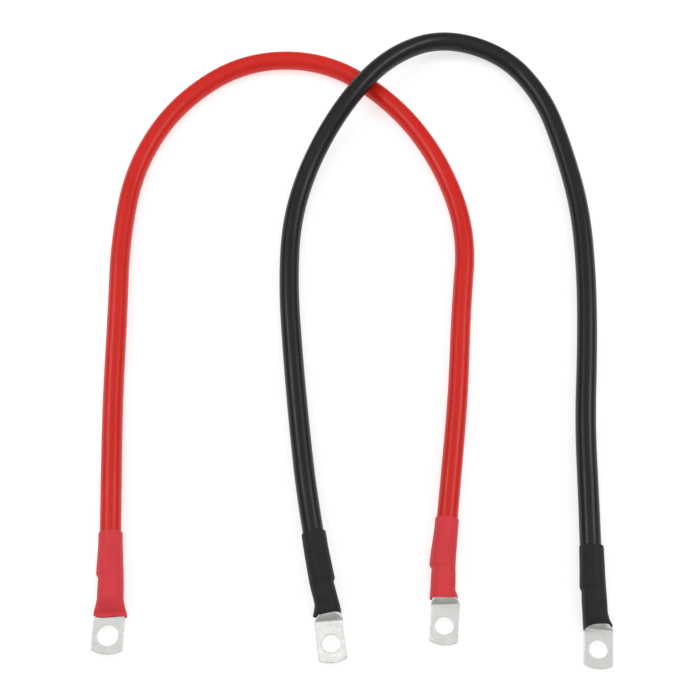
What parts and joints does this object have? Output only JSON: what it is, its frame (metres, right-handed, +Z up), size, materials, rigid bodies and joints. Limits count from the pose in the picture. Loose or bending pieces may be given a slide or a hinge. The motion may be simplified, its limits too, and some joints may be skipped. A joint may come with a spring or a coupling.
{
  "type": "lugged battery cable set",
  "caption": "Red and black battery cables lying as open loops, black crossing over red, each end crimped into a tinned ring lug under a heat-shrink sleeve.",
  "frame": {"origin": "bottom centre of the row of lugs and sleeves, on the surface that the cables lie on", "axes": "+X along the row of lugs from the red left lug to the black right lug, +Y from the lugs towards the bends of the cables, +Z up"},
  "size_m": [0.2503, 0.3484, 0.0204],
  "materials": {
    "red_jacket": "soft PVC, satin to semi-gloss",
    "black_jacket": "soft PVC, semi-gloss",
    "red_heat_shrink": "satin polyolefin heat-shrink",
    "black_heat_shrink": "matte polyolefin heat-shrink",
    "tinned_copper": "bright electro-tinned copper",
    "bare_copper": "bare stranded copper",
    "hot_melt_adhesive": "translucent hot-melt"
  },
  "bodies": {
    "red_cable": {"red_jacket": "red_jacket", "red_strands_centre": "bare_copper", "red_strands_1": "bare_copper", "red_strands_2": "bare_copper", "red_strands_3": "bare_copper", "red_strands_4": "bare_copper", "red_strands_5": "bare_copper", "red_strands_6": "bare_copper", "red_lug_left": "tinned_copper", "red_sleeve_left": "red_heat_shrink", "red_liner_left": "hot_melt_adhesive", "red_lug_right": "tinned_copper", "red_sleeve_right": "red_heat_shrink", "red_liner_right": "hot_melt_adhesive"},
    "black_cable": {"black_jacket": "black_jacket", "black_strands_centre": "bare_copper", "black_strands_1": "bare_copper", "black_strands_2": "bare_copper", "black_strands_3": "bare_copper", "black_strands_4": "bare_copper", "black_strands_5": "bare_copper", "black_strands_6": "bare_copper", "black_lug_left": "tinned_copper", "black_sleeve_left": "black_heat_shrink", "black_liner_left": "hot_melt_adhesive", "black_lug_right": "tinned_copper", "black_sleeve_right": "black_heat_shrink", "black_liner_right": "hot_melt_adhesive"}
  },
  "joints": [
    {"name": "black_cable_lift", "type": "slide", "parent": "red_cable", "child": "black_cable", "axis": [0, 0, 1], "range_m": [0, 0.08]}
  ]
}
